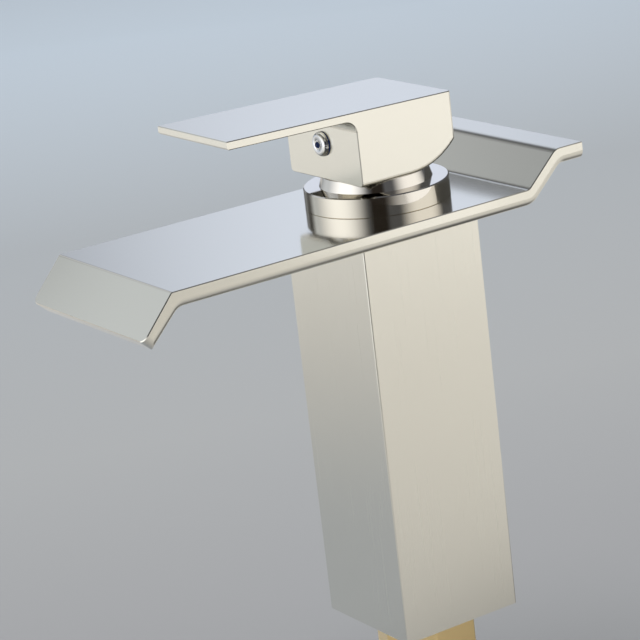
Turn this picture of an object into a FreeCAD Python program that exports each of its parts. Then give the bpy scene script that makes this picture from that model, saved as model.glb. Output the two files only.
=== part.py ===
"""Single-lever waterfall basin mixer: a square column on the deck, a wide open spout plate
across its top, and a block handle with a long flat lever above it.

Millimetres. Origin: centre of the column's foot on the deck. +Z is up, the spout reaches
towards -Y, hot is on -X and cold on +X.
"""

import FreeCAD
import Part
import math
import os

os.makedirs("parts", exist_ok=True)

# ---- sizes ---------------------------------------------------------------------------
# clearances used all over
passing_gap = 0.2
thread_clearance = 0.05
press_gap = 0.02
edge_break = 0.3
snap = 0.01

# column
column_width = 50.0
column_height = 151.6
column_wall = 2.0
column_top_wall = 3.0
column_corner_r = 0.6

# spout plate: one thick strip, bent down at the front and up at the back
plate_width = 77.7
plate_thickness = 6.2
plate_front_bend_y = -109.4
plate_tip_y = -122.2
plate_tip_drop = 14.1
plate_tip_thickness = 5.3
plate_crease_y = 38.4
plate_upstand_y = 51.6
plate_upstand_rise = 12.0
plate_flange_end_y = 63.7
plate_under_round = 3.1
front_bend_r = 1.2
front_bend_under_r = 5.0
crease_r = 3.0
crease_under_r = 8.0
upstand_r = 5.0
upstand_under_r = 4.0

# cover ring and cone cap on the plate
ring_radius = 26.2
ring_height = 7.3
ring_wall = 2.2
ring_flange_thickness = 1.9
ring_top_chamfer = 0.4
ring_foot_chamfer = 0.2
outlet_gap = 1.6
outlet_half_angle = 30.0
cap_overhang = 1.5
cap_height = 4.4
cap_taper_deg = 17.0
cap_edge_chamfer = 0.5
cap_mouth_gap = 1.0

# waterway housing inside the column
cartridge_seat_depth = 27.6
housing_base_thickness = 12.0
housing_side_gap = 0.2
neck_wall = 1.35
neck_below_cap_top = 2.5
channel_width = 15.0
channel_depth = 2.4
cross_bore_radius = 2.6
cross_bore_below_seat = 3.8

# ceramic cartridge, the common 35 mm size
cartridge_radius = 17.4
cartridge_bore_clearance = 0.15
cartridge_base_height = 6.0
cartridge_body_height = 28.0
cartridge_wall = 2.0
cartridge_nut_width = 2.7
nut_below_neck = 1.0
notch_width = 4.0
notch_depth = 2.0
port_x = 6.6
port_y = -4.4
outlet_y = 5.2
port_radius = 3.0
seal_width = 1.5
seal_depth = 1.5
peg_inset = 4.4
peg_y = 4.0
peg_radius = 1.5
peg_length = 3.0
disc_seal_thickness = 1.0
disc_seal_sunk = 1.8
disc_thickness = 5.0
disc_gap = 0.3
disc_side_gap = 1.2
disc_inlet_x = 5.9
disc_inlet_y = -4.1
disc_inlet_radius = 2.2
disc_outlet_y = 4.5
disc_outlet_radius = 3.6
seal_port_margin = 0.5
disc_travel_room = 0.65
moving_disc_start_y = 2.75
chamber_half_width = 7.6
chamber_front_y = -1.0
chamber_back_y = 9.0
chamber_depth = 3.0
chamber_corner_r = 3.0
coupler_inset = 0.4
coupler_height = 8.7
limit_ring_width = 2.1
limit_ring_height = 2.4
limit_ring_teeth = 8
limit_tooth_gap = 1.6
limit_tooth_depth = 1.2
carrier_neck_clearance = 0.06
carrier_flange_height = 3.5
carrier_top_above_body = 5.5
carrier_slot_end_wall = 2.7
pivot_above_body = 0.5
pin_radius = 1.6
pin_end_inset = 0.8
pin_clearance = 0.06
stem_width = 8.0
stem_depth = 9.0
stem_edge_r = 1.0
stem_side_clearance = 0.3
stem_below_pivot = 5.5
stem_arm_radius = 1.8
ball_radius = 2.7
ball_below_pivot = 13.0
ball_play = 0.3

# handle
handle_width = 45.6
block_front_y = -20.6
block_back_y = 20.5
block_above_cap = 0.3
block_corner_r = 1.6
handle_height_back = 26.0
handle_height_front = 28.0
lever_front_y = -72.5
lever_thickness = 3.0
lever_fillet = 4.5
lever_nose_chamfer = 0.7
rocker_radius = 28.7
handle_wall = 1.7
handle_ceiling = 6.0
hub_half_width = 7.0
hub_back_y = 7.0
hub_bottom_rise = 7.7
socket_top_rise = 17.4
socket_clearance = 0.04

# set screw and the index plug in front of it
grub_radius = 2.5
grub_length = 10.0
grub_socket_flats = 2.5
grub_socket_depth = 3.0
index_rise = 13.0
index_radius = 4.5
index_seat_depth = 3.2
index_fit = 0.03
index_collar_width = 1.1
index_collar_thickness = 0.3
index_head_height = 2.6
index_head_chamfer = 1.2
index_dish_depth = 0.9
index_dish_land = 0.2
bead_radius = 1.1
bead_rim_width = 0.6
bead_rim_height = 0.3

# foot, hexagonal collar and mounting shank
foot_height = 8.6
foot_gap = 0.1
gasket_thickness = 1.2
collar_flats = 33.4
collar_length = 20.0
collar_turn_deg = -22.5
shank_radius = 16.5
shank_length = 54.0
shank_lead = 0.8
shank_wall = 2.1
boss_length = 10.0
inlet_x = 7.2
inlet_thread_r = 4.5
inlet_thread_depth = 10.0
waterway_radius = 3.2
tube_radius = 5.0
tube_wall = 1.0
tube_socket_depth = 5.0
tube_socket_clearance = 0.03
tube_end_room = 1.5

# deck clamp
deck_thickness = 30.0
washer_radius = 28.0
washer_bore_gap = 0.4
rubber_washer_thickness = 3.0
steel_washer_thickness = 2.0
nut_flats = 42.0
nut_height = 10.0
nut_face_inset = 0.6
nut_cone_rise = 3.3
nut_cone_run = 5.0

# screws that hold plate, column and housing together
screw_radius = 1.5
screw_neck_gap = 0.8
screw_head_radius = 2.9
screw_head_height = 1.7
screw_socket_flats = 2.0
screw_socket_depth = 1.2
screw_grip = 8.0
screw_hole_extra = 1.0
plate_gasket_thickness = 0.8

# ---- derived sizes and levels --------------------------------------------------------
inside_width = column_width - 2 * column_wall
housing_width = inside_width - 2 * housing_side_gap
foot_width = inside_width - 2 * foot_gap

bore_radius = cartridge_radius + cartridge_bore_clearance
neck_radius = bore_radius + neck_wall
neck_hole_radius = neck_radius + passing_gap
screw_pitch_half = (neck_radius + screw_head_radius + screw_neck_gap) / math.sqrt(2)
screw_places = [(sx * screw_pitch_half, sy * screw_pitch_half) for sx in (-1, 1) for sy in (-1, 1)]
channel_inner_y = neck_radius + thread_clearance
channel_outer_y = channel_inner_y + channel_depth
cartridge_inner_r = cartridge_radius - cartridge_wall
fixed_disc_radius = cartridge_inner_r - disc_side_gap
moving_disc_radius = cartridge_inner_r - moving_disc_start_y - disc_travel_room
coupler_radius = moving_disc_radius - coupler_inset
carrier_flange_radius = cartridge_inner_r - disc_gap
nut_inner_r = cartridge_radius - cartridge_nut_width
limit_ring_radius = nut_inner_r - disc_gap
carrier_neck_radius = limit_ring_radius - limit_ring_width - disc_gap
carrier_slot_half = carrier_neck_radius - carrier_slot_end_wall
pin_half_length = carrier_neck_radius - pin_end_inset
peg_x = cartridge_radius - peg_inset
shank_bore_radius = shank_radius - shank_wall
cap_base_radius = neck_radius + cap_overhang
cap_mouth_radius = carrier_neck_radius + cap_mouth_gap
screw_hole_radius = screw_radius + passing_gap

plate_bottom_z = column_height
plate_top_z = column_height + plate_thickness
ring_top_z = plate_top_z + ring_height
cap_top_z = ring_top_z + cap_height
housing_top_z = column_height - column_top_wall
housing_floor_z = column_height - cartridge_seat_depth
housing_bottom_z = housing_floor_z - housing_base_thickness
cross_bore_z = housing_floor_z - cross_bore_below_seat
neck_top_z = cap_top_z - neck_below_cap_top
base_top_z = housing_floor_z + cartridge_base_height
body_top_z = base_top_z + cartridge_body_height
disc_seal_z = base_top_z - disc_seal_sunk
fixed_disc_z = disc_seal_z + disc_seal_thickness
moving_disc_z = fixed_disc_z + disc_thickness + disc_gap
coupler_z = moving_disc_z + disc_thickness
carrier_z = coupler_z + coupler_height + disc_gap
carrier_top_z = body_top_z + carrier_top_above_body
shoulder_z = carrier_z + carrier_flange_height + disc_gap
pivot_z = body_top_z + pivot_above_body
ball_z = pivot_z - ball_below_pivot
block_bottom_z = cap_top_z + block_above_cap
handle_back_z = block_bottom_z + handle_height_back
handle_front_z = block_bottom_z + handle_height_front
hub_bottom_z = block_bottom_z + hub_bottom_rise
socket_top_z = block_bottom_z + socket_top_rise
index_z = block_bottom_z + index_rise
index_collar_y = block_front_y - index_collar_thickness
index_front_y = index_collar_y - index_head_height
index_stub_radius = index_radius - index_collar_width
index_dish_y = index_front_y + index_dish_depth


# ---- helpers -------------------------------------------------------------------------
def vec(x, y, z):
    return FreeCAD.Vector(x, y, z)


def box(x0, x1, y0, y1, z0, z1):
    return Part.makeBox(x1 - x0, y1 - y0, z1 - z0, vec(x0, y0, z0))


def rod(radius, z0, z1, x=0.0, y=0.0):
    return Part.makeCylinder(radius, z1 - z0, vec(x, y, z0), vec(0, 0, 1))


def rod_y(radius, y0, y1, z):
    return Part.makeCylinder(radius, y1 - y0, vec(0, y0, z), vec(0, 1, 0))


def rod_x(radius, half_length, z):
    return Part.makeCylinder(radius, 2 * half_length, vec(-half_length, 0, z), vec(1, 0, 0))


def tube(outer, inner, z0, z1, x=0.0, y=0.0):
    return rod(outer, z0, z1, x, y).cut(rod(inner, z0, z1, x, y))


def round_upright_edges(shape, radius):
    upright = [e for e in shape.Edges if abs(e.tangentAt(e.FirstParameter).z) > 0.99]
    return shape.makeFillet(radius, upright)


def square_bar(width, z0, z1):
    return box(-width / 2, width / 2, -width / 2, width / 2, z0, z1)


def side_profile(points, width):
    """Extrude a closed outline drawn in the YZ plane symmetrically along X."""
    corners = [vec(-width / 2, y, z) for y, z in points]
    face = Part.Face(Part.makePolygon(corners + corners[:1]))
    return face.extrude(vec(width, 0, 0))


def edges_where(shape, test):
    found = []
    for edge in shape.Edges:
        if test(edge):
            found.append(edge)
    return found


def along_x(edge):
    return abs(edge.tangentAt(edge.FirstParameter).x) > 0.99


def near(edge, y, z, tol=0.6):
    centre = edge.CenterOfMass
    return abs(centre.y - y) < tol and abs(centre.z - z) < tol


def hex_bar(flats, z0, z1):
    reach = flats / math.sqrt(3.0)
    ring = [
        vec(reach * math.cos(math.radians(60 * k)), reach * math.sin(math.radians(60 * k)), z0)
        for k in range(6)
    ]
    return Part.Face(Part.makePolygon(ring + ring[:1])).extrude(vec(0, 0, z1 - z0))


def save(shape, name):
    shape.exportStep("parts/" + name + ".step")


# ---- column --------------------------------------------------------------------------
def outlet_slot(y_end, z0, z1):
    """The flat passage behind the neck that brings the mixed water up onto the plate."""
    return box(-channel_width / 2, channel_width / 2, 0.0, y_end, z0, z1)


def make_column():
    body = round_upright_edges(square_bar(column_width, 0.0, column_height), column_corner_r)
    body = body.cut(square_bar(inside_width, 0.0, housing_top_z))
    body = body.cut(rod(neck_hole_radius, housing_top_z, column_height))
    body = body.cut(outlet_slot(channel_outer_y, housing_top_z, column_height))
    for x, y in screw_places:
        body = body.cut(rod(screw_hole_radius, housing_top_z, column_height, x, y))
    return body


# ---- foot, shank and deck clamp ------------------------------------------------------
def make_foot():
    """Brass plug pressed into the column; its boss carries the shank and the two inlets."""
    flange = square_bar(foot_width, gasket_thickness, foot_height)
    boss = rod(shank_bore_radius - press_gap, -boss_length, gasket_thickness)
    shape = flange.fuse(boss)
    for side in (-1, 1):
        x = side * inlet_x
        shape = shape.cut(rod(inlet_thread_r, -boss_length, inlet_thread_depth - boss_length, x))
        shape = shape.cut(rod(waterway_radius, -boss_length, foot_height, x))
        shape = shape.cut(rod(tube_radius + tube_socket_clearance,
                              foot_height - tube_socket_depth, foot_height, x))
    return shape


def make_shank():
    """Hexagonal collar under the foot, turned down to the threaded shank below it."""
    collar = hex_bar(collar_flats, -collar_length, gasket_thickness)
    collar.rotate(vec(0, 0, 0), vec(0, 0, 1), collar_turn_deg)
    shank = rod(shank_radius, -shank_length, -collar_length)
    lip = edges_where(shank, lambda e: abs(e.CenterOfMass.z + shank_length) < snap)
    shank = shank.makeChamfer(shank_lead, lip)
    return collar.fuse(shank).cut(rod(shank_bore_radius, -shank_length, gasket_thickness))


def make_base_gasket():
    pad = square_bar(foot_width, 0.0, gasket_thickness)
    collar_reach = collar_flats / math.sqrt(3.0)
    return pad.cut(rod(collar_reach + thread_clearance, 0.0, gasket_thickness))


def make_deck_washer(z_top, thickness):
    return tube(washer_radius, shank_radius + washer_bore_gap, z_top - thickness, z_top)


def make_lock_nut(z_top):
    z_bottom = z_top - nut_height
    nut = hex_bar(nut_flats, z_bottom, z_top)
    face_cone = Part.makeCone(nut_flats / 2 - nut_face_inset, nut_flats / 2 + nut_cone_run,
                              nut_cone_rise, vec(0, 0, z_bottom), vec(0, 0, 1))
    barrel = rod(nut_flats, z_bottom + nut_cone_rise, z_top)
    nut = nut.common(face_cone.fuse(barrel))
    return nut.cut(rod(shank_radius + thread_clearance, z_bottom, z_top))


# ---- supply tubes --------------------------------------------------------------------
def make_supply_tube(side):
    """Straight copper tube brazed into the foot below and the housing above."""
    return tube(tube_radius, tube_radius - tube_wall, foot_height - tube_socket_depth,
                housing_bottom_z + tube_socket_depth, side * inlet_x)


# ---- waterway housing ----------------------------------------------------------------
def make_housing():
    """Block that seats the cartridge; one slot behind its neck leads the mixed water up."""
    block = square_bar(housing_width, housing_bottom_z, housing_top_z)
    neck = rod(neck_radius, housing_top_z, neck_top_z)
    shape = block.fuse(neck)
    shape = shape.cut(rod(bore_radius, housing_floor_z, neck_top_z))
    # each tube ends in a chamber that the port above it opens into from the side
    tube_end_z = housing_bottom_z + tube_socket_depth
    for side in (-1, 1):
        shape = shape.cut(rod(tube_radius + tube_socket_clearance, housing_bottom_z,
                              tube_end_z + tube_end_room, side * inlet_x))
        shape = shape.cut(rod(port_radius, tube_end_z, housing_floor_z, side * port_x, port_y))
        shape = shape.cut(rod(peg_radius + thread_clearance, housing_floor_z - peg_length - passing_gap,
                              housing_floor_z, side * peg_x, peg_y))
    shape = shape.cut(rod(port_radius, cross_bore_z, housing_floor_z, 0.0, outlet_y))
    shape = shape.cut(rod_y(cross_bore_radius, outlet_y, channel_outer_y, cross_bore_z))
    shape = shape.cut(box(-channel_width / 2, channel_width / 2, channel_inner_y, channel_outer_y,
                          cross_bore_z - cross_bore_radius, housing_top_z))
    for x, y in screw_places:
        shape = shape.cut(rod(screw_radius + press_gap, housing_top_z - screw_grip - screw_hole_extra,
                              housing_top_z, x, y))
    return shape


# ---- spout plate ---------------------------------------------------------------------
def make_plate():
    """Thick strip bent down into a tongue in front and up into a flange behind."""
    top = plate_top_z
    flange_top = top + plate_upstand_rise
    t = plate_thickness
    slope = math.atan2(plate_tip_drop, plate_front_bend_y - plate_tip_y)
    rise = math.atan2(plate_upstand_rise, plate_upstand_y - plate_crease_y)
    tip = (plate_tip_y, top - plate_tip_drop)
    tip_under = (tip[0] + plate_tip_thickness * math.sin(slope),
                 tip[1] - plate_tip_thickness * math.cos(slope))
    front_under = (plate_front_bend_y + t * math.tan(slope / 2), top - t)
    crease_under = (plate_crease_y + t * math.tan(rise / 2), top - t)
    upstand_under = (plate_upstand_y + t * math.tan(rise / 2), flange_top - t)
    outline = [
        tip,
        (plate_front_bend_y, top),
        (plate_crease_y, top),
        (plate_upstand_y, flange_top),
        (plate_flange_end_y, flange_top),
        (plate_flange_end_y, flange_top - t),
        upstand_under,
        crease_under,
        front_under,
        tip_under,
    ]
    shape = side_profile(outline, plate_width)
    bends = (
        (plate_front_bend_y, top, front_bend_r),
        (plate_crease_y, top, crease_r),
        (plate_upstand_y, flange_top, upstand_r),
        upstand_under + (upstand_under_r,),
        crease_under + (crease_under_r,),
        front_under + (front_bend_under_r,),
    )
    for y, z, radius in bends:
        shape = shape.makeFillet(radius, edges_where(shape, lambda e: along_x(e) and near(e, y, z)))
    # the long underside edges are rolled over, the top edges stay almost sharp
    shape = shape.makeFillet(plate_under_round, long_side_edges(shape, plate_width / 2, 1))
    shape = shape.makeChamfer(edge_break, long_side_edges(shape, plate_width / 2, -1))
    # clearance for the housing's neck, the outlet slot, the seal pocket and the screws
    shape = shape.cut(rod(neck_hole_radius, plate_bottom_z, top))
    shape = shape.cut(outlet_slot(channel_outer_y, plate_bottom_z, top))
    shape = shape.cut(square_bar(inside_width, plate_bottom_z,
                                 plate_bottom_z + plate_gasket_thickness))
    for x, y in screw_places:
        shape = shape.cut(rod(screw_hole_radius, plate_bottom_z, top, x, y))
        shape = shape.cut(Part.makeCone(screw_hole_radius, screw_head_radius + passing_gap,
                                        screw_head_height, vec(x, y, top - screw_head_height),
                                        vec(0, 0, 1)))
    return shape


def long_side_edges(shape, half, inward):
    """Edges of the two upright sides with metal above them (inward 1) or below them (-1)."""
    found = []
    for face in shape.Faces:
        if abs(abs(face.CenterOfMass.x) - half) > snap:
            continue
        for edge in face.Edges:
            where = edge.CenterOfMass
            probe = vec(where.x * 0.99, where.y, where.z + edge_break * inward)
            beside = probe - vec(0, inward * edge_break / 2, 0)
            if shape.isInside(probe, snap, False) and shape.isInside(beside, snap, False):
                found.append(edge)
    return found


def make_plate_gasket():
    top = plate_bottom_z + plate_gasket_thickness
    pad = square_bar(foot_width, plate_bottom_z, top)
    pad = pad.cut(rod(neck_hole_radius, plate_bottom_z, top))
    pad = pad.cut(outlet_slot(channel_outer_y, plate_bottom_z, top))
    for x, y in screw_places:
        pad = pad.cut(rod(screw_hole_radius, plate_bottom_z, top, x, y))
    return pad


def make_plate_screws():
    head_z = plate_top_z - screw_head_height
    screws = []
    for x, y in screw_places:
        shank = rod(screw_radius, housing_top_z - screw_grip, head_z, x, y)
        head = Part.makeCone(screw_radius, screw_head_radius, screw_head_height,
                             vec(x, y, head_z), vec(0, 0, 1))
        socket = hex_bar(screw_socket_flats, plate_top_z - screw_socket_depth, plate_top_z)
        screws.append(shank.fuse(head).cut(socket.translated(vec(x, y, 0))))
    return Part.makeCompound(screws)


# ---- cover ring and cone cap ---------------------------------------------------------
def make_cover_ring():
    ring = rod(ring_radius, plate_top_z, ring_top_z)
    ring = ring.makeChamfer(ring_top_chamfer, edges_where(
        ring, lambda e: abs(e.CenterOfMass.z - ring_top_z) < snap))
    ring = ring.makeChamfer(ring_foot_chamfer, edges_where(
        ring, lambda e: abs(e.CenterOfMass.z - plate_top_z) < snap))
    ring = ring.cut(rod(ring_radius - ring_wall, plate_top_z, ring_top_z - ring_flange_thickness))
    ring = ring.cut(rod(neck_hole_radius, plate_top_z, ring_top_z))
    # the low gap behind lets the water out towards the upstand, which turns it forward
    wedge = Part.makeCylinder(ring_radius, outlet_gap, vec(0, 0, plate_top_z), vec(0, 0, 1),
                              2 * outlet_half_angle)
    wedge.rotate(vec(0, 0, 0), vec(0, 0, 1), 90 - outlet_half_angle)
    return ring.cut(wedge)


def make_cone_cap():
    run = cap_height * math.tan(math.radians(cap_taper_deg))
    cap = Part.makeCone(cap_base_radius, cap_base_radius - run, cap_height,
                        vec(0, 0, ring_top_z), vec(0, 0, 1))
    cap = cap.makeChamfer(cap_edge_chamfer, edges_where(
        cap, lambda e: abs(e.CenterOfMass.z - cap_top_z) < snap))
    cap = cap.cut(rod(neck_radius + thread_clearance, ring_top_z, neck_top_z + passing_gap))
    return cap.cut(rod(cap_mouth_radius, ring_top_z, cap_top_z))


# ---- cartridge -----------------------------------------------------------------------
ports = ((-port_x, port_y), (port_x, port_y), (0.0, outlet_y))


def make_cartridge_nut():
    top = neck_top_z - nut_below_neck
    nut = tube(bore_radius - thread_clearance, nut_inner_r, body_top_z, top)
    for turn in (0, 45, 90, 135):
        notch = box(-notch_width / 2, notch_width / 2, -bore_radius, bore_radius, top - notch_depth, top)
        notch.rotate(vec(0, 0, 0), vec(0, 0, 1), turn)
        nut = nut.cut(notch)
    return nut


def make_cartridge_base():
    base = rod(cartridge_radius, housing_floor_z, base_top_z)
    for side in (-1, 1):
        base = base.fuse(rod(peg_radius, housing_floor_z - peg_length, housing_floor_z,
                             side * peg_x, peg_y))
    base = base.cut(rod(fixed_disc_radius + passing_gap / 2, disc_seal_z, base_top_z))
    for x, y in ports:
        base = base.cut(rod(port_radius, housing_floor_z, base_top_z, x, y))
        base = base.cut(rod(port_radius + seal_width, housing_floor_z,
                            housing_floor_z + seal_depth, x, y))
    return base


def make_port_seals():
    rings = []
    for x, y in ports:
        rings.append(tube(port_radius + seal_width - press_gap, port_radius, housing_floor_z,
                          housing_floor_z + seal_depth, x, y))
    return Part.makeCompound(rings)


def cut_disc_ports(shape, z0, z1, margin):
    for side in (-1, 1):
        shape = shape.cut(rod(disc_inlet_radius + margin, z0, z1, side * disc_inlet_x, disc_inlet_y))
    return shape.cut(rod(disc_outlet_radius + margin, z0, z1, 0.0, disc_outlet_y))


def make_disc_seal():
    seal = rod(fixed_disc_radius - seal_port_margin, disc_seal_z, fixed_disc_z)
    return cut_disc_ports(seal, disc_seal_z, fixed_disc_z, seal_port_margin)


def make_fixed_disc():
    disc = rod(fixed_disc_radius, fixed_disc_z, fixed_disc_z + disc_thickness)
    return cut_disc_ports(disc, fixed_disc_z, fixed_disc_z + disc_thickness, 0.0)


def make_moving_disc():
    disc = rod(moving_disc_radius, moving_disc_z, coupler_z, 0.0, moving_disc_start_y)
    chamber = box(-chamber_half_width, chamber_half_width, chamber_front_y, chamber_back_y,
                  moving_disc_z, moving_disc_z + chamber_depth)
    return disc.cut(round_upright_edges(chamber, chamber_corner_r))


def make_coupler():
    top = coupler_z + coupler_height
    body = rod(coupler_radius, coupler_z, top, 0.0, moving_disc_start_y)
    reach = ball_radius + ball_play
    return body.cut(box(-reach, reach, -reach, reach, ball_z - reach, top))


def make_cartridge_body():
    body = rod(cartridge_radius, base_top_z, body_top_z)
    body = body.cut(rod(cartridge_inner_r, base_top_z, shoulder_z))
    return body.cut(rod(carrier_neck_radius + carrier_neck_clearance, shoulder_z, body_top_z))


def make_limit_ring():
    inner_r = limit_ring_radius - limit_ring_width
    top = body_top_z + limit_ring_height
    ring = tube(limit_ring_radius, inner_r, body_top_z, top)
    for k in range(limit_ring_teeth):
        notch = box(limit_ring_radius - limit_ring_width / 2, limit_ring_radius + passing_gap,
                    -limit_tooth_gap / 2, limit_tooth_gap / 2, top - limit_tooth_depth, top)
        notch.rotate(vec(0, 0, 0), vec(0, 0, 1), k * 360 / limit_ring_teeth)
        ring = ring.cut(notch)
    return ring


def make_carrier():
    """Turning carrier; its slot holds the stem and its pin is the lever's lift axis."""
    flange = rod(carrier_flange_radius, carrier_z, carrier_z + carrier_flange_height)
    neck = rod(carrier_neck_radius, carrier_z, carrier_top_z)
    shape = flange.fuse(neck)
    half_x = stem_width / 2 + stem_side_clearance
    shape = shape.cut(box(-half_x, half_x, -carrier_slot_half, carrier_slot_half,
                          carrier_z, carrier_top_z))
    return shape.cut(rod_x(pin_radius, pin_half_length, pivot_z))


def make_stem_pin():
    return rod_x(pin_radius, pin_half_length, pivot_z)


def make_stem():
    """Square bar on the pin, with an arm and a ball below it that push the moving disc."""
    half_w = stem_width / 2
    half_d = stem_depth / 2
    foot_z = pivot_z - stem_below_pivot
    bar = box(-half_w, half_w, -half_d, half_d, foot_z, socket_top_z)
    bar = round_upright_edges(bar, stem_edge_r)
    arm = rod(stem_arm_radius, ball_z, foot_z)
    ball = Part.makeSphere(ball_radius, vec(0, 0, ball_z))
    stem = bar.fuse(arm).fuse(ball)
    return stem.cut(rod_x(pin_radius + pin_clearance, stem_width, pivot_z))


# ---- handle --------------------------------------------------------------------------
def make_handle():
    """Hollow block with a rocker-shaped underside and a flat lever carried on from its top."""
    rake = (handle_front_z - handle_back_z) / (block_back_y - lever_front_y)
    half = handle_width / 2
    arc_centre_z = block_bottom_z + rocker_radius

    def top_at(y):
        return handle_back_z + rake * (block_back_y - y)

    def rocker(y):
        return vec(-half, y, arc_centre_z - math.sqrt(rocker_radius ** 2 - y ** 2))

    nose_z = top_at(lever_front_y) - lever_thickness
    under_z = top_at(block_front_y) - lever_thickness
    outline = [
        rocker(0.0),
        vec(-half, block_front_y, block_bottom_z),
        vec(-half, block_front_y, under_z),
        vec(-half, lever_front_y, nose_z),
        vec(-half, lever_front_y, top_at(lever_front_y)),
        vec(-half, block_back_y, top_at(block_back_y)),
        rocker(block_back_y),
    ]
    lines = [Part.makeLine(a, b) for a, b in zip(outline, outline[1:])]
    arc = Part.Arc(rocker(block_back_y), rocker(block_back_y / 2), rocker(0.0)).toShape()
    shape = Part.Face(Part.Wire(lines + [arc])).extrude(vec(handle_width, 0, 0))
    shape = shape.makeFillet(lever_fillet, edges_where(
        shape, lambda e: along_x(e) and near(e, block_front_y, under_z)))
    shape = shape.makeFillet(block_corner_r, edges_where(
        shape, lambda e: along_x(e) and near(e, block_back_y, rocker(block_back_y).z)))
    shape = shape.makeChamfer(lever_nose_chamfer, edges_where(
        shape, lambda e: along_x(e) and near(e, lever_front_y, nose_z)))
    # rounded corners of the block's outline below, then the nearly sharp edges
    middle_y = block_front_y / 2
    shape = shape.makeFillet(block_corner_r, edges_where(
        shape, lambda e: abs(e.CenterOfMass.x) > half - snap and near(e, middle_y, block_bottom_z)))
    shape = shape.makeChamfer(edge_break, edges_where(
        shape, lambda e: abs(e.CenterOfMass.x) < 1 and near(e, block_front_y, block_bottom_z)))
    shape = shape.makeChamfer(edge_break, edges_where(shape, lambda e: is_top_edge(e, top_at)))
    # hollow under the block, with a hub left standing for the stem
    ceiling_z = handle_back_z - handle_ceiling
    inner = half - handle_wall
    hollow = box(-inner, inner, block_front_y + handle_wall, block_back_y - handle_wall,
                 block_bottom_z - 1, ceiling_z)
    hub = box(-hub_half_width, hub_half_width, block_front_y, hub_back_y, hub_bottom_z, ceiling_z)
    shape = shape.cut(hollow.cut(hub))
    fit_w = stem_width / 2 + socket_clearance
    fit_d = stem_depth / 2 + socket_clearance
    shape = shape.cut(box(-fit_w, fit_w, -fit_d, fit_d, hub_bottom_z, socket_top_z))
    shape = shape.cut(rod_y(grub_radius + index_fit, block_front_y, 0.0, index_z))
    return shape.cut(rod_y(index_stub_radius + index_fit, block_front_y,
                           block_front_y + index_seat_depth, index_z))


def is_top_edge(edge, top_at):
    where = edge.CenterOfMass
    return abs(where.z - top_at(where.y)) < snap


def make_grub_screw():
    y1 = -stem_depth / 2
    screw = rod_y(grub_radius, y1 - grub_length, y1, index_z)
    socket = hex_bar(grub_socket_flats, 0.0, grub_socket_depth)
    socket.rotate(vec(0, 0, 0), vec(1, 0, 0), -90)
    socket.translate(vec(0, y1 - grub_length, index_z))
    return screw.cut(socket)


# ---- index plug ----------------------------------------------------------------------
bead_seat_y = index_dish_y + bead_radius


def make_index_bezel():
    """Chrome button with a shallow dish, pushed into the seat in front of the set screw."""
    seat_y = block_front_y + index_seat_depth
    rim_radius = bead_radius + bead_rim_width
    plug = rod_y(index_stub_radius, index_collar_y, seat_y, index_z)
    head = rod_y(index_radius, index_front_y, index_collar_y, index_z)
    front = edges_where(head, lambda e: abs(e.CenterOfMass.y - index_front_y) < snap)
    head = head.makeChamfer(index_head_chamfer, front)
    dish = Part.makeCone(index_radius - index_head_chamfer - index_dish_land, rim_radius,
                         index_dish_depth, vec(0, index_front_y, index_z), vec(0, 1, 0))
    head = head.cut(dish)
    rim = rod_y(rim_radius, index_dish_y - bead_rim_height, bead_seat_y, index_z)
    plug = plug.fuse(head).fuse(rim)
    return plug.cut(rod_y(bead_radius + index_fit, index_dish_y - bead_rim_height, bead_seat_y, index_z))


def make_index_bead():
    stub = rod_y(bead_radius, index_dish_y, bead_seat_y, index_z)
    return stub.fuse(Part.makeSphere(bead_radius, vec(0, index_dish_y, index_z)))


def make_index_half(side):
    """Half of the thin coloured collar under the button: red on the hot side, blue on the cold."""
    ring = rod_y(index_radius, index_collar_y, block_front_y, index_z)
    ring = ring.cut(rod_y(index_stub_radius, index_collar_y, block_front_y, index_z))
    x0, x1 = (-index_radius, 0.0) if side < 0 else (0.0, index_radius)
    return ring.common(box(x0, x1, index_collar_y, block_front_y,
                           index_z - index_radius, index_z + index_radius))


# ---- write every piece ---------------------------------------------------------------
washer_z = -deck_thickness
steel_z = washer_z - rubber_washer_thickness
nut_z = steel_z - steel_washer_thickness

save(make_column(), "column_body")
save(make_foot(), "foot_plug")
save(make_shank(), "mounting_shank")
save(make_base_gasket(), "base_gasket")
save(make_deck_washer(washer_z, rubber_washer_thickness), "rubber_washer")
save(make_deck_washer(steel_z, steel_washer_thickness), "steel_washer")
save(make_lock_nut(nut_z), "lock_nut")
save(make_supply_tube(-1), "hot_supply_tube")
save(make_supply_tube(1), "cold_supply_tube")
save(make_housing(), "valve_housing")
save(make_plate(), "spout_plate")
save(make_plate_gasket(), "plate_gasket")
save(make_plate_screws(), "plate_screws")
save(make_cover_ring(), "cover_ring")
save(make_cone_cap(), "cone_cap")
save(make_cartridge_nut(), "cartridge_nut")
save(make_cartridge_base(), "cartridge_base")
save(make_port_seals(), "port_seals")
save(make_disc_seal(), "disc_seal")
save(make_fixed_disc(), "fixed_disc")
save(make_moving_disc(), "moving_disc")
save(make_coupler(), "disc_coupler")
save(make_cartridge_body(), "cartridge_body")
save(make_limit_ring(), "limit_ring")
save(make_carrier(), "stem_carrier")
save(make_stem_pin(), "stem_pin")
save(make_stem(), "stem")
save(make_handle(), "handle")
save(make_grub_screw(), "grub_screw")
save(make_index_bezel(), "index_bezel")
save(make_index_bead(), "index_bead")
save(make_index_half(-1), "index_hot")
save(make_index_half(1), "index_cold")
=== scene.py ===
# %% [markdown]
# # A waterfall basin mixer tap
# This file dresses a finished CAD model of a single-lever tap: a square column, a wide open
# spout plate and a block handle with a long flat lever. The script sets up the camera and the
# studio and writes a material for every part. The CAD parts keep their shapes, apart from two that
# get a finer one: the brass shank, which needs its thread, and the small index button.

import math

import bmesh
import bpy
from mathutils import Matrix, Vector


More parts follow.
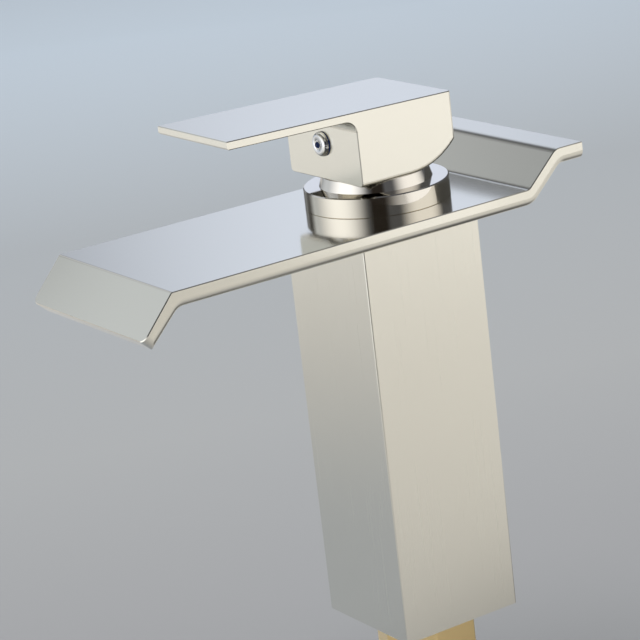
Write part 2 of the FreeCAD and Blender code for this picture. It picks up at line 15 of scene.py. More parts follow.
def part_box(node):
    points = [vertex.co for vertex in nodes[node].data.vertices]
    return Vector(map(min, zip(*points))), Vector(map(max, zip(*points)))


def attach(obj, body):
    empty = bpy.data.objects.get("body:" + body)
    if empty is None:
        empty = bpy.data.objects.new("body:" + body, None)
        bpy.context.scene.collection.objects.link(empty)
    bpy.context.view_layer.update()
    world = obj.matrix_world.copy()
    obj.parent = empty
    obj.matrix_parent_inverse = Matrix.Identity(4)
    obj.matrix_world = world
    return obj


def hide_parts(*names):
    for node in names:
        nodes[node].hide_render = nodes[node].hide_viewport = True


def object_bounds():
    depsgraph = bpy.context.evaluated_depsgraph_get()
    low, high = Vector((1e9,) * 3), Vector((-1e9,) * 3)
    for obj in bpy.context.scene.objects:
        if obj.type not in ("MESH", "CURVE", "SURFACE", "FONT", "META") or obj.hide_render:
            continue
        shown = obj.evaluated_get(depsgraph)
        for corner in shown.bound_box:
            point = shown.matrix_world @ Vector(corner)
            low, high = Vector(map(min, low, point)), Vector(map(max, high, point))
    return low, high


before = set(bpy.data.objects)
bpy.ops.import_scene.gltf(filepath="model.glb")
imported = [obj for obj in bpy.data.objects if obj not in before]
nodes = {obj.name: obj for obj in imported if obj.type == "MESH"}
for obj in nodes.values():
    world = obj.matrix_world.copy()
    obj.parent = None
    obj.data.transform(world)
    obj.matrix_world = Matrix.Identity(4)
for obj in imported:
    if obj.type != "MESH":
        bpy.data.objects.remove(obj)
cad_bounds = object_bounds()
MM = 0.001
print("parts:", len(nodes), "bounds:", cad_bounds)

# %% [markdown]
# ## Camera
# The product photo was taken with a long lens from the front right, a little above the tap, and
# with the camera tipped a few degrees to one side, which is why the column leans in the picture.
# The view could be matched by eye. Here the straight edges of the column and plate gave the
# angles, so they are written down as an azimuth, an elevation and a roll.

# %% Camera
CAMERA_AZIMUTH = math.radians(58.196)
CAMERA_ELEVATION = math.radians(16.603)
CAMERA_ROLL = math.radians(-6.824)
CAMERA_PLACE = Vector((757.0, -499.7, 385.9)) * MM
LENS_MM = 146.87
SENSOR_MM = 36.0


def camera_matrix():
    """Columns are the camera's right, up and backward directions, then its place."""
    ca, sa = math.cos(CAMERA_AZIMUTH), math.sin(CAMERA_AZIMUTH)
    ce, se = math.cos(CAMERA_ELEVATION), math.sin(CAMERA_ELEVATION)
    back = Vector((sa * ce, -ca * ce, se))
    level_right = Vector((ca, sa, 0.0))
    level_up = back.cross(level_right)
    cr, sr = math.cos(CAMERA_ROLL), math.sin(CAMERA_ROLL)
    right = level_right * cr + level_up * sr
    up = level_up * cr - level_right * sr
    turn = Matrix((right, up, back)).transposed().to_4x4()
    return Matrix.Translation(CAMERA_PLACE) @ turn


camera_data = bpy.data.cameras.new("camera")
camera_data.lens = LENS_MM
camera_data.sensor_width = SENSOR_MM
camera_data.clip_end = 50.0
camera = bpy.data.objects.new("camera", camera_data)
bpy.context.scene.collection.objects.link(camera)
camera.matrix_world = camera_matrix()
bpy.context.scene.camera = camera
bpy.context.scene.view_settings.view_transform = "Standard"
print("camera at", tuple(round(v, 3) for v in camera.location))

# %% [markdown]
# ## Small helpers for materials
# A shader is a chain of nodes. One function adds a node and sets its values, so each material
# below reads as a short list of steps. Colours are written as the hex codes of a paint chart
# and turned into linear light by one function.

# %% Material helpers
COLOUR_A, COLOUR_B, COLOUR_OUT = 6, 7, 2  # places of a Mix node's colour sockets


def linear(hex_colour):
    """sRGB hex to linear RGBA."""
    channels = [int(hex_colour[i:i + 2], 16) / 255 for i in (1, 3, 5)]
    lit = [c / 12.92 if c <= 0.04045 else ((c + 0.055) / 1.055) ** 2.4 for c in channels]
    return (*lit, 1.0)


def add(tree, kind, **settings):
    """Add one shader node. A setting that isn't a property of the node goes to its socket."""
    node = tree.nodes.new("ShaderNode" + kind)
    for name, value in settings.items():
        if hasattr(node, name):
            setattr(node, name, value)
        else:
            node.inputs[name.replace("_", " ").title()].default_value = value
    return node


def new_material(name):
    """An empty material with a Principled shader wired to its output."""
    material = bpy.data.materials.new(name)
    material.use_nodes = True
    tree = material.node_tree
    tree.nodes.clear()
    shader = add(tree, "BsdfPrincipled")
    output = add(tree, "OutputMaterial")
    tree.links.new(shader.outputs["BSDF"], output.inputs["Surface"])
    return material, tree, shader


def dress(names, material):
    """Give CAD parts a material in place of the plain one they came with."""
    for name in names:
        slots = nodes[name].data.materials
        slots.clear()
        slots.append(material)


# %% [markdown]
# ## Panels that glow
# Polished metal has almost no colour of its own: it shows the room. So the room is built first, and
# most of it is light. The lights could be lamps, but a lamp has a hard rim in a mirror. A panel
# that glows from its middle and fades out evenly looks like the cloth of a real softbox, and it
# can be kept out of the picture, so that it only shows in reflections.

# %% Panel helpers
def flat_panel(name, width, height, material):
    """A sheet round its own origin, made by the grid operator and stretched to size."""
    sheet = bmesh.new()
    bmesh.ops.create_grid(sheet, x_segments=1, y_segments=1, size=0.5)
    bmesh.ops.scale(sheet, vec=(width, height, 1.0), verts=sheet.verts)
    mesh = bpy.data.meshes.new(name)
    sheet.to_mesh(mesh)
    sheet.free()
    mesh.materials.append(material)
    panel = bpy.data.objects.new(name, mesh)
    bpy.context.scene.collection.objects.link(panel)
    return panel


def hide_from_view(panel):
    """Keep a panel for the mirrors only."""
    panel.visible_camera = False
    panel.visible_diffuse = False
    panel.visible_shadow = False


def stand_up(panel, azimuth, distance, centre_z):
    """Turn a panel to face the tap. Azimuth runs from +X towards +Y, in degrees."""
    turn = math.radians(azimuth)
    place = Vector((math.cos(turn) * distance, math.sin(turn) * distance, centre_z))
    upright = Matrix.Rotation(turn + math.pi / 2, 4, "Z") @ Matrix.Rotation(math.pi / 2, 4, "X")
    panel.matrix_world = Matrix.Translation(place) @ upright
    hide_from_view(panel)


def glow(name, colour, strength, width, height, core):
    """Light that fades out from the middle in an ellipse and lets the room show through."""
    material = bpy.data.materials.new(name)
    material.use_nodes = True
    tree = material.node_tree
    tree.nodes.clear()
    place = add(tree, "TexCoord")
    squeeze = add(tree, "Mapping", scale=(2 / width, 2 / height, 0.0))
    length = add(tree, "VectorMath", operation="LENGTH")
    fade = add(tree, "MapRange", interpolation_type="SMOOTHSTEP",
               from_min=core, from_max=1.0, to_min=1.0, to_max=0.0)
    light = add(tree, "Emission", strength=strength)
    light.inputs["Color"].default_value = linear(colour)
    clear = add(tree, "BsdfTransparent")
    both = add(tree, "MixShader")
    output = add(tree, "OutputMaterial")
    tree.links.new(place.outputs["Object"], squeeze.inputs["Vector"])
    tree.links.new(squeeze.outputs["Vector"], length.inputs[0])
    tree.links.new(length.outputs["Value"], fade.inputs["Value"])
    tree.links.new(fade.outputs["Result"], both.inputs["Fac"])
    tree.links.new(clear.outputs["BSDF"], both.inputs[1])
    tree.links.new(light.outputs["Emission"], both.inputs[2])
    tree.links.new(both.outputs["Shader"], output.inputs["Surface"])
    return material


def softbox(name, azimuth, distance, centre_z, width, height, core, colour, strength):
    """A standing panel with a glow, in metres. A dark colour makes it a flag."""
    panel = flat_panel(name, width, height, glow(name, colour, strength, width, height, core))
    stand_up(panel, azimuth, distance, centre_z)


# %% [markdown]
# ## The studio
# The tap stands on the end of its shank on a pale sheet, with no basin. A bright softbox stands in
# front of it, weaker panels stand on its left, a warm softbox on its right, and a pale blue screen
# behind it, which the flat tops mirror. Dark flags give the round ring its dark stripes, and a dark
# cloth on the sheet carries the stripe on where the ring mirrors the ground. One big bright room
# would be simpler, but then round metal has no dark edge and looks flat.

# %% Panels and flags
FLOOR_Z = cad_bounds[0][2]
# Name, azimuth, distance, height of its centre, width, height, bright core, colour, strength.
softbox("front softbox", -98.0, 0.55, 0.15, 1.34, 1.9, 0.08, "#fbfdff", 1.62)
softbox("left fill panel", -154.0, 0.90, 0.45, 1.80, 2.5, 0.0, "#f1f8ff", 0.82)
softbox("small panel high on the left", 178.0, 0.80, 0.62, 0.45, 0.45, 0.1, "#f6f9ff", 0.85)
softbox("right softbox", 42.0, 0.76, 0.0, 1.56, 3.4, 0.24, "#fffdf9", 1.20)
softbox("blue screen behind", 146.0, 1.60, 0.65, 1.40, 2.4, 0.08, "#dde6f8", 1.13)
softbox("low panel on the left", -147.0, 0.80, 0.03, 0.6, 0.22, 0.2, "#fffefb", 0.93)
softbox("dark flag in front", -33.0, 1.3, 0.6, 0.86, 1.7, 0.45, "#2c2824", 1.0)
softbox("dark flag on the left", -170.0, 0.8, 0.42, 0.62, 0.44, 0.1, "#35312d", 1.0)

CLOTH_WIDTH, CLOTH_LENGTH = 1.5, 1.2
CLOTH_AZIMUTH, CLOTH_DISTANCE, CLOTH_LIFT = -38.0, 0.88, 2.0 * MM
floor_cloth = flat_panel("dark cloth on the sheet", CLOTH_WIDTH, CLOTH_LENGTH,
                         glow("dark cloth", "#2c2824", 1.0, CLOTH_WIDTH, CLOTH_LENGTH, 0.25))
hide_from_view(floor_cloth)
floor_cloth.matrix_world = (Matrix.Rotation(math.radians(CLOTH_AZIMUTH - 90.0), 4, "Z")
                            @ Matrix.Translation((0.0, CLOTH_DISTANCE, FLOOR_Z + CLOTH_LIFT)))
print("cloth at", [round(v, 3) for v in floor_cloth.matrix_world.translation])

# %% [markdown]
# ## The sheet under the tap
# The picture's background is one pale sheet that runs from the camera's side far out behind the
# tap: grey close by, and a lighter, cooler grey in the distance. A world colour could stand in for
# it, but then nothing would lie under the tap. A gradient on the sheet, roughly along the line of
# sight, draws it, so the fall of light over the sheet is painted light in its colour. The metal sees
# other parts of the sheet, mostly close to the tap, so everything but the camera gets colours of its
# own, with painted shade: darker in a wide pool on the tap's left, where the column's front looks,
# and in a small pool behind the foot, which the plate's lower edge mirrors.

# %% Pale sheet
def sheet_gradient(tree, azimuth, end_m, shades):
    """Colours along one line over the sheet, from the tap to the end each way."""
    turn = math.radians(azimuth)
    place = add(tree, "TexCoord")
    along = add(tree, "VectorMath", operation="DOT_PRODUCT")
    along.inputs[1].default_value = (math.cos(turn), math.sin(turn), 0.0)
    reach = add(tree, "MapRange", from_max=end_m)
    both_ways = add(tree, "Math", operation="ABSOLUTE")
    tree.links.new(place.outputs["Object"], along.inputs[0])
    tree.links.new(along.outputs["Value"], both_ways.inputs[0])
    tree.links.new(both_ways.outputs["Value"], reach.inputs["Value"])
    return ramp(tree, reach.outputs["Result"], shades)


def pool_gradient(tree, centre, end_m, shades):
    """Colours in rings round a centre."""
    place = add(tree, "TexCoord")
    gap = add(tree, "VectorMath", operation="DISTANCE")
    gap.inputs[1].default_value = (centre[0], centre[1], 0.0)
    reach = add(tree, "MapRange", from_max=end_m)
    tree.links.new(place.outputs["Object"], gap.inputs[0])
    tree.links.new(gap.outputs["Value"], reach.inputs["Value"])
    return ramp(tree, reach.outputs["Result"], shades)


def ramp(tree, factor, shades):
    """A colour ramp from (position, hex) pairs."""
    node = add(tree, "ValToRGB")
    stops = node.color_ramp.elements
    while len(stops) < len(shades):
        stops.new(0.5)
    for stop, (position, shade) in zip(stops, shades):
        stop.position = position
        stop.color = linear(shade)
    tree.links.new(factor, node.inputs["Fac"])
    return node.outputs["Color"]


sheet_paint, tree, shader = new_material("pale studio sheet")
shader.inputs["Roughness"].default_value = 0.9
# Painted light: the sheet is darker near the camera and lighter and cooler far behind the tap, as
# light falls on it; only the camera sees this.
painted_falloff_seen = sheet_gradient(tree, azimuth=160.0, end_m=2.0,
                      shades=[(0.0, "#9d9fa1"), (0.08, "#a8a9ab"), (0.2, "#b2b4b5"),
                              (0.42, "#b4b9bd"), (0.8, "#dbe8f4"), (1.0, "#e6f3ff")])
# Painted shade: a wide darker pool on the sheet, on the tap's left, seen only in reflections.
painted_shade_wide_pool = pool_gradient(tree, centre=(-0.18, -0.11), end_m=1.0,
                          shades=[(0.08, "#adb2b8"), (0.3, "#cdccca"),
                                  (0.55, "#edeae4"), (0.8, "#f9f6ef")])
# Painted shade: a small darker pool on the sheet behind the foot, seen only in reflections.
painted_shade_near_pool = pool_gradient(tree, centre=(0.0, 0.15), end_m=0.2,
                          shades=[(0.3, "#808080"), (0.9, "#ffffff")])
shaded = add(tree, "Mix", data_type="RGBA", blend_type="MULTIPLY", factor=1.0)
tree.links.new(painted_shade_wide_pool, shaded.inputs[COLOUR_A])
tree.links.new(painted_shade_near_pool, shaded.inputs[COLOUR_B])
path = add(tree, "LightPath")
choice = add(tree, "Mix", data_type="RGBA")
tree.links.new(path.outputs["Is Camera Ray"], choice.inputs["Factor"])
tree.links.new(shaded.outputs[COLOUR_OUT], choice.inputs[COLOUR_A])
tree.links.new(painted_falloff_seen, choice.inputs[COLOUR_B])
tree.links.new(choice.outputs[COLOUR_OUT], shader.inputs["Base Color"])
SHEET_SIDE = 8.0
sheet = flat_panel("pale sheet", SHEET_SIDE, SHEET_SIDE, sheet_paint)
sheet.location = (0.0, 0.0, FLOOR_Z)
print("sheet at", round(FLOOR_Z, 4))

# %% [markdown]
# ## Overhead light
# One wide lamp high above gives the sheet and the plastic parts a plain, even light, at which a
# colour comes out about as it is written. A small lamp could be as bright, but it would cast a hard
# shadow. The wide one is kept out of the mirrors. A dim grey world fills the shadows.

# %% Overhead light and fill
LAMP_WATTS = 56.0
LAMP_SIDE = 2.2
LAMP_PLACE = (-0.4, 0.3, 2.2)
ROOM_GREY = "#b9bcc2"
ROOM_STRENGTH = 0.22
lamp_data = bpy.data.lights.new("overhead softbox", "AREA")
lamp_data.shape = "SQUARE"
lamp_data.size = LAMP_SIDE
lamp_data.energy = LAMP_WATTS
overhead = bpy.data.objects.new("overhead softbox", lamp_data)
overhead.location = LAMP_PLACE
overhead.visible_glossy = False
bpy.context.scene.collection.objects.link(overhead)

world = bpy.data.worlds.new("dim room")
bpy.context.scene.world = world
world.use_nodes = True
backdrop = world.node_tree.nodes["Background"]
backdrop.inputs["Color"].default_value = linear(ROOM_GREY)
backdrop.inputs["Strength"].default_value = ROOM_STRENGTH
print("lamp at", LAMP_PLACE, "watts:", LAMP_WATTS)

# %% [markdown]
# ## Brushed nickel
# Nickel plate on brass is brushed with a fine belt, so it carries thousands of hair-thin lines
# that run one way. They can be drawn as an image, but a noise that is stretched about three
# hundred times in one direction gives the same lines at any distance. It shifts the roughness a
# little and raises a very low bump, which is the grain that shows close up. Most of the blur is
# plain roughness: the column has the most, the lever less, and the plate is nearly a mirror.

# %% Brushed nickel
LINES_ACROSS_PER_MM = 4.0
LINES_ALONG_PER_MM = 0.012
BUMP_STRENGTH = 0.5


def stretched_noise(tree, across_per_mm, along_per_mm, axis):
    """Noise in lines that run along one axis."""
    place = add(tree, "TexCoord")
    scale = [across_per_mm / MM] * 3
    scale["XYZ".index(axis)] = along_per_mm / MM
    mapping = add(tree, "Mapping", scale=scale)
    noise = add(tree, "TexNoise", scale=1.0, detail=3.0)
    tree.links.new(place.outputs["Object"], mapping.inputs["Vector"])
    tree.links.new(mapping.outputs["Vector"], noise.inputs["Vector"])
    return noise


def spread(tree, source, low, high):
    """Map a 0 to 1 value onto low to high."""
    remap = add(tree, "MapRange", to_min=low, to_max=high)
    tree.links.new(source, remap.inputs["Value"])
    return remap.outputs["Result"]


def raise_bump(tree, shader, grain, bump_mm):
    """Let a noise raise the surface by no more than bump_mm."""
    bump = add(tree, "Bump", strength=BUMP_STRENGTH, distance=bump_mm * MM)
    tree.links.new(grain.outputs["Fac"], bump.inputs["Height"])
    tree.links.new(bump.outputs["Normal"], shader.inputs["Normal"])


def bare_metal(tree, shader, grain, colour, rough_low, rough_high, bump_mm):
    """Metal whose grain shifts its roughness and raises a low bump."""
    shader.inputs["Base Color"].default_value = linear(colour)
    shader.inputs["Metallic"].default_value = 1.0
    rough = spread(tree, grain.outputs["Fac"], rough_low, rough_high)
    tree.links.new(rough, shader.inputs["Roughness"])
    raise_bump(tree, shader, grain, bump_mm)


def brushed_nickel(name, axis, colour, rough_low, rough_high, bump_mm):
    """Nickel with fine lines along one axis."""
    material, tree, shader = new_material(name)
    lines = stretched_noise(tree, LINES_ACROSS_PER_MM, LINES_ALONG_PER_MM, axis)
    bare_metal(tree, shader, lines, colour, rough_low, rough_high, bump_mm)
    return material


nickel_upright = brushed_nickel("nickel brushed upright", "Z", "#e3e0d6", 0.25, 0.285, 0.0008)
nickel_long = brushed_nickel("nickel brushed lengthwise", "Y", "#e3e0d6", 0.19, 0.24, 0.0010)
nickel_plate = brushed_nickel("nickel polished then lightly brushed", "Y", "#dedbd1",
                              0.07, 0.12, 0.001)
dress(["column_body"], nickel_upright)
dress(["handle"], nickel_long)
dress(["spout_plate"], nickel_plate)
print("brushed:", nickel_upright.name, "|", nickel_long.name, "|", nickel_plate.name)

# %% [markdown]
# ## Where the plate bends up
# Behind the ring the plate rises in a short step. A crease is hard to reach with a polishing wheel,
# so the nickel is duller there. The step could be a face group with a second material, but that
# draws a line where one meets the other. Adding a little roughness that grows along the plate has
# no line.

# %% Duller towards the bend
BEND_POLISHED_Y = 12.0 * MM
BEND_DULL_Y = 38.0 * MM
BEND_EXTRA_ROUGHNESS = 0.12
tree = nickel_plate.node_tree
shader = tree.nodes["Principled BSDF"]
polished = shader.inputs["Roughness"].links[0].from_socket
place = add(tree, "TexCoord")
split = add(tree, "SeparateXYZ")
bent_up = add(tree, "MapRange", interpolation_type="SMOOTHSTEP", from_min=BEND_POLISHED_Y,
              from_max=BEND_DULL_Y, to_max=BEND_EXTRA_ROUGHNESS)
rougher = add(tree, "Math", operation="ADD")
tree.links.new(place.outputs["Object"], split.inputs["Vector"])
tree.links.new(split.outputs["Y"], bent_up.inputs["Value"])
tree.links.new(polished, rougher.inputs[0])
tree.links.new(bent_up.outputs["Result"], rougher.inputs[1])
tree.links.new(rougher.outputs["Value"], shader.inputs["Roughness"])
print("plate duller between", BEND_POLISHED_Y, "and", BEND_DULL_Y)

# %% [markdown]
# ## Turned parts
# The ring and the cone are turned on a lathe and polished. What is left are faint grooves that
# run round the axis. They could be cut into the mesh, but they are far finer than its faces. Here
# the noise reads the height and the distance from the tap's upright axis, and ignores the angle.
# Small parts that were turned about another axis, such as the button, share it, because their
# grooves are too fine to tell. The button's chrome is the smoothest. The brass and the steel inside
# come straight off the machine, so their grooves are deeper and blur what the metal mirrors.

# %% Turned metal
def turned_noise(tree, per_mm):
    """Noise in rings round the tap's upright axis."""
    place = add(tree, "TexCoord")
    split = add(tree, "SeparateXYZ")
    flat = add(tree, "CombineXYZ")
    length = add(tree, "VectorMath", operation="LENGTH")
    joined = add(tree, "CombineXYZ")
    noise = add(tree, "TexNoise", scale=per_mm / MM, detail=2.0)
    tree.links.new(place.outputs["Object"], split.inputs["Vector"])
    tree.links.new(split.outputs["X"], flat.inputs["X"])
    tree.links.new(split.outputs["Y"], flat.inputs["Y"])
    tree.links.new(flat.outputs["Vector"], length.inputs[0])
    tree.links.new(length.outputs["Value"], joined.inputs["X"])
    tree.links.new(split.outputs["Z"], joined.inputs["Y"])
    tree.links.new(joined.outputs["Vector"], noise.inputs["Vector"])
    return noise


def turned_metal(name, colour, rough_low, rough_high, bump_mm, per_mm=3.0):
    """Metal with fine grooves round the tap's upright axis."""
    material, tree, shader = new_material(name)
    rings = turned_noise(tree, per_mm)
    bare_metal(tree, shader, rings, colour, rough_low, rough_high, bump_mm)
    return material


nickel_turned = turned_metal("nickel turned and polished", "#e2ddd5", 0.04, 0.08, 0.001)
chrome = turned_metal("polished chrome", "#dfe0e2", 0.03, 0.07, 0.001)
brass = turned_metal("machined brass", "#ffe2a6", 0.28, 0.38, 0.003, per_mm=2.0)
steel = turned_metal("plain stainless steel", "#b9b9b7", 0.25, 0.38, 0.004, per_mm=2.0)
dress(["cover_ring", "cone_cap"], nickel_turned)
dress(["index_bezel"], chrome)
dress(["mounting_shank", "foot_plug", "lock_nut", "valve_housing", "cartridge_nut"], brass)
dress(["steel_washer", "plate_screws", "grub_screw", "stem_pin", "stem"], steel)
print("turned:", [metal.name for metal in (nickel_turned, chrome, brass, steel)])

# %% [markdown]
# ## The threaded shank
# The brass shank under the foot carries the lock nut, so it has a cut thread. The CAD part has a
# plain cylinder there. A thread could be faked with a bump map, but its outline would stay
# straight. Here one tooth of the thread is drawn as a line, and spin sweeps it round the axis
# while it climbs by one pitch each turn. Where one turn ends the next begins, so merging doubles
# makes one skin. Two planes then cut the ends square, and fills close the gaps to the bore and
# to the hexagonal collar.

# %% Thread skin
SHANK_RADIUS = 16.5 * MM
SHANK_BORE = 14.4 * MM
THREAD_PITCH = 1.5 * MM
THREAD_DEPTH = 0.9 * MM
THREAD_LEAD = 0.8 * MM
COLLAR_FLATS = 33.4 * MM
COLLAR_TURN = math.radians(7.5)
STEPS_PER_TURN = 64
COLLAR_LOW = -20.0 * MM
SAME_PLACE = 0.001 * MM
low, high = (corner.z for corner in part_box("mounting_shank"))


def thread_skin(bm, bottom, top):
    """The skin of an outside thread between two levels."""
    root = SHANK_RADIUS - THREAD_DEPTH
    start = bottom - 1.5 * THREAD_PITCH
    flat = THREAD_PITCH / 8
    tooth = [(root, 0.0), (root, flat), (SHANK_RADIUS, THREAD_PITCH / 2),
             (SHANK_RADIUS, THREAD_PITCH / 2 + flat), (root, THREAD_PITCH)]
    points = [bm.verts.new((radius, 0.0, start + climb)) for radius, climb in tooth]
    line = [bm.edges.new(pair) for pair in zip(points, points[1:])]
    turns = math.ceil((top - start) / THREAD_PITCH) + 1
    bmesh.ops.spin(bm, geom=points + line, axis=(0.0, 0.0, 1.0), cent=(0.0, 0.0, 0.0),
                   dvec=(0.0, 0.0, THREAD_PITCH / STEPS_PER_TURN), angle=2 * math.pi * turns,
                   steps=STEPS_PER_TURN * turns, use_merge=False, use_duplicate=False)
    bmesh.ops.remove_doubles(bm, verts=bm.verts, dist=SAME_PLACE)
    for level, side in ((bottom, -1.0), (top, 1.0)):
        bmesh.ops.bisect_plane(bm, geom=bm.verts[:] + bm.edges[:] + bm.faces[:],
                               plane_co=(0.0, 0.0, level), plane_no=(0.0, 0.0, side),
                               clear_outer=True)
    for vert in bm.verts:  # the lead-in: the crests grow from the lower end
        radius = math.hypot(vert.co.x, vert.co.y)
        allowed = SHANK_RADIUS - THREAD_LEAD + (vert.co.z - bottom)
        if radius > allowed:
            vert.co.x *= allowed / radius
            vert.co.y *= allowed / radius


def level_edges(bm, level):
    """Open edges that lie at one level."""
    return [e for e in bm.edges if e.is_boundary
            and all(abs(v.co.z - level) < SAME_PLACE for v in e.verts)]


shank = bmesh.new()
thread_skin(shank, low, COLLAR_LOW)
print("thread faces:", len(shank.faces))

# %% [markdown]
# ## Collar and bore of the shank
# A spanner holds the tap by its hexagonal collar while the nut is tightened. The collar and the
# bore could be joined on with booleans, but those are apt to leave slivers on a thread. Here the
# collar starts as a circle of six points that is pulled down into a prism. The bore is a circle of
# many points, pulled down to the end of the thread. Each end is then a flat ring between two loops,
# which triangle_fill closes. A small bevel on the collar's edges catches light, as a worn edge does.

# %% Collar, bore and ends
BORE_POINTS = 96
COLLAR_BEVEL = 0.4 * MM
COLLAR_EDGE_ANGLE = 0.9
CLEAR_OF_THREAD = SHANK_RADIUS + 0.1 * MM


def pull_down(bm, points, radius, turn, top, bottom):
    """A tube wall: a circle of points at the top, extruded to the bottom."""
    circle = bmesh.ops.create_circle(bm, cap_ends=False, segments=points, radius=radius)["verts"]
    bmesh.ops.rotate(bm, verts=circle, cent=(0, 0, 0), matrix=Matrix.Rotation(turn, 3, "Z"))
    bmesh.ops.translate(bm, verts=circle, vec=(0.0, 0.0, top))
    rim = [e for e in bm.edges if e.is_wire and all(v in circle for v in e.verts)]
    lower = bmesh.ops.extrude_edge_only(bm, edges=rim)["geom"]
    moved = [v for v in lower if isinstance(v, bmesh.types.BMVert)]
    bmesh.ops.translate(bm, verts=moved, vec=(0.0, 0.0, bottom - top))


pull_down(shank, 6, COLLAR_FLATS / math.sqrt(3.0), COLLAR_TURN, high, COLLAR_LOW)
pull_down(shank, BORE_POINTS, SHANK_BORE, 0.0, high, low)
for level in (high, COLLAR_LOW, low):
    bmesh.ops.triangle_fill(shank, use_beauty=True, use_dissolve=False,
                            edges=level_edges(shank, level), normal=(0.0, 0.0, 1.0))
bmesh.ops.recalc_face_normals(shank, faces=shank.faces)
arrises = [e for e in shank.edges
           if len(e.link_faces) == 2 and e.calc_face_angle(0.0) > COLLAR_EDGE_ANGLE
           and all(math.hypot(v.co.x, v.co.y) > CLEAR_OF_THREAD for v in e.verts)]
bmesh.ops.bevel(shank, geom=arrises, offset=COLLAR_BEVEL, offset_type="OFFSET", segments=2,
                profile=0.5, affect="EDGES", material=-1)
open_edges = sum(e.is_boundary for e in shank.edges)
shank_mesh = bpy.data.meshes.new("threaded_shank")
shank.to_mesh(shank_mesh)
shank.free()
threaded_shank = bpy.data.objects.new("threaded_shank", shank_mesh)
bpy.context.scene.collection.objects.link(threaded_shank)
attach(threaded_shank, "tap")
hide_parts("mounting_shank")
shank_mesh.materials.append(nodes["mounting_shank"].data.materials[0])
print("shank faces:", len(shank_mesh.polygons), "open edges:", open_edges, "arrises:", len(arrises))

# %% [markdown]
# ## The index button
# A chrome button on the handle's front hides the set screw and shows which way is hot and cold. Its
# blue bead sits in a raised rim at the bottom of a shallow dish. The CAD part has a plain bevel
# round the dish. A real button is pressed and polished, so its edge is one soft curve that mirrors
# a dark crescent. A bevel modifier could round it, but not by more than the narrow rim allows. So
# half of the outline is drawn as a line of points, from the back round the rim to the seat of the
# bead, and spun once round its own axis. The two curves in it are parts of ellipses.

# %% Round the index button
BACK_Y, SPIGOT_RADIUS, FLANGE_Y = -17.4, 3.4, -20.9  # mm; the front is at the lowest y
SEAT_RADIUS, SEAT_FLOOR_Y = 1.14, -21.5
SPIN_STEPS = 96
SHARP_ANGLE = math.radians(40.0)
button_low, button_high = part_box("index_bezel")
button_axis_z = (button_low.z + button_high.z) / 2


def curve(centre_r, centre_y, size_r, size_y, first, last, steps):
    """Points of an ellipse between two angles, as (radius, y), in mm."""
    turns = [math.radians(first + (last - first) * k / steps) for k in range(steps + 1)]
    return [(centre_r + size_r * math.cos(t), centre_y - size_y * math.sin(t)) for t in turns]


spigot = [(0.0, BACK_Y), (SPIGOT_RADIUS, BACK_Y), (SPIGOT_RADIUS, FLANGE_Y)]
soft_edge = curve(3.0, FLANGE_Y, 1.495, 1.8, 0.0, 90.0, 10)
dish = curve(2.95, -22.1, 1.2, 0.6, 90.0, 165.0, 6)
bead_rim = [(1.7, -22.3), (1.66, -22.62), (1.52, -22.75), (1.28, -22.75), (SEAT_RADIUS, -22.6)]
seat = [(SEAT_RADIUS, SEAT_FLOOR_Y), (0.0, SEAT_FLOOR_Y)]
outline = spigot + soft_edge + dish + bead_rim + seat
button = bmesh.new()
corners = [button.verts.new((r * MM, y * MM, button_axis_z)) for r, y in outline]
edges = [button.edges.new(pair) for pair in zip(corners, corners[1:])]
bmesh.ops.spin(button, geom=corners + edges, axis=(0.0, 1.0, 0.0), cent=(0.0, 0.0, button_axis_z),
               angle=2 * math.pi, steps=SPIN_STEPS, use_merge=True, use_duplicate=False)
bmesh.ops.remove_doubles(button, verts=button.verts, dist=SAME_PLACE)
bmesh.ops.recalc_face_normals(button, faces=button.faces)
open_edges = sum(e.is_boundary for e in button.edges)
for face in button.faces:
    face.smooth = True
button_mesh = bpy.data.meshes.new("rounded_index_button")
button.to_mesh(button_mesh)
button.free()
button_mesh.set_sharp_from_angle(angle=SHARP_ANGLE)
button_mesh.materials.append(nodes["index_bezel"].data.materials[0])
rounded_button = bpy.data.objects.new("rounded_index_button", button_mesh)
bpy.context.scene.collection.objects.link(rounded_button)
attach(rounded_button, "lever")
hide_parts("index_bezel")
print("button faces:", len(button_mesh.polygons), "open edges:", open_edges)

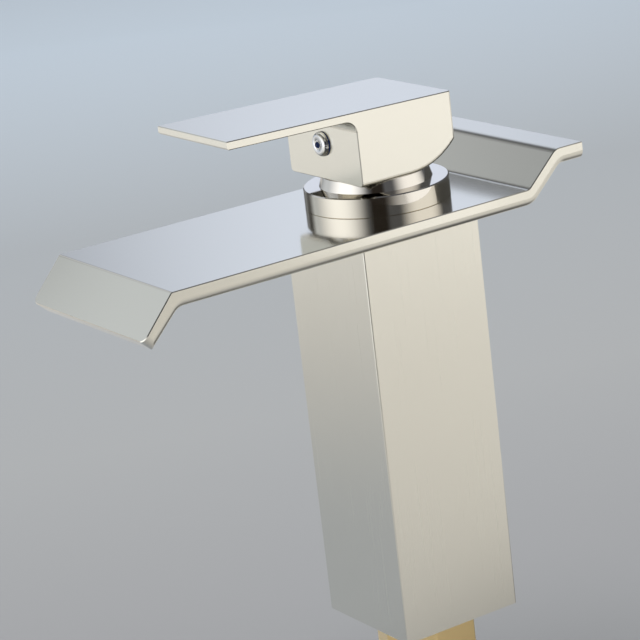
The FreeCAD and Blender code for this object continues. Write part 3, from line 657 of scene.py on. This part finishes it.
# %% [markdown]
# ## Moulded and fired parts
# Rubber, plastic and ceramic aren't metals: most of the light that they send back has gone a
# little way in, so they show their own colour from every side. Flat colours would do for parts this
# small, but they look like paint close up, so each has a fine grain in the colour and the bump.
# The drawn copper of the tubes uses the same grain, as a metal.

# %% Plastic, rubber, ceramic and copper
COLOUR_SHIFT = 0.06


def moulded(name, colour, roughness, grain_per_mm, bump_mm, metallic=0.0):
    """A plain material with a fine grain in its colour and its bump."""
    material, tree, shader = new_material(name)
    base = linear(colour)
    place = add(tree, "TexCoord")
    noise = add(tree, "TexNoise", scale=grain_per_mm / MM, detail=4.0)
    tree.links.new(place.outputs["Object"], noise.inputs["Vector"])
    mix = add(tree, "Mix", data_type="RGBA")
    for socket, share in ((COLOUR_A, 1 - COLOUR_SHIFT), (COLOUR_B, 1 + COLOUR_SHIFT)):
        mix.inputs[socket].default_value = [min(1.0, c * share) for c in base[:3]] + [1.0]
    tree.links.new(noise.outputs["Fac"], mix.inputs["Factor"])
    tree.links.new(mix.outputs[COLOUR_OUT], shader.inputs["Base Color"])
    shader.inputs["Roughness"].default_value = roughness
    shader.inputs["Metallic"].default_value = metallic
    raise_bump(tree, shader, noise, bump_mm)
    return material


dress(["base_gasket", "rubber_washer", "plate_gasket", "port_seals", "disc_seal"],
      moulded("black rubber", "#1c1c1d", 0.7, 2.5, 0.02))
dress(["cartridge_body", "cartridge_base", "disc_coupler", "stem_carrier"],
      moulded("white acetal", "#e4e2da", 0.42, 3.0, 0.004))
dress(["fixed_disc", "moving_disc"], moulded("lapped alumina", "#efe9df", 0.15, 5.0, 0.001))
dress(["limit_ring"], moulded("red plastic", "#b3241c", 0.4, 3.0, 0.004))
dress(["index_hot"], moulded("red enamel", "#c22a22", 0.12, 2.0, 0.001))
dress(["index_cold", "index_bead"], moulded("blue enamel", "#12357e", 0.12, 2.0, 0.001))
dress(["hot_supply_tube", "cold_supply_tube"],
      moulded("drawn copper", "#c8805c", 0.3, 0.4, 0.003, metallic=1.0))
print("materials:", len(bpy.data.materials))
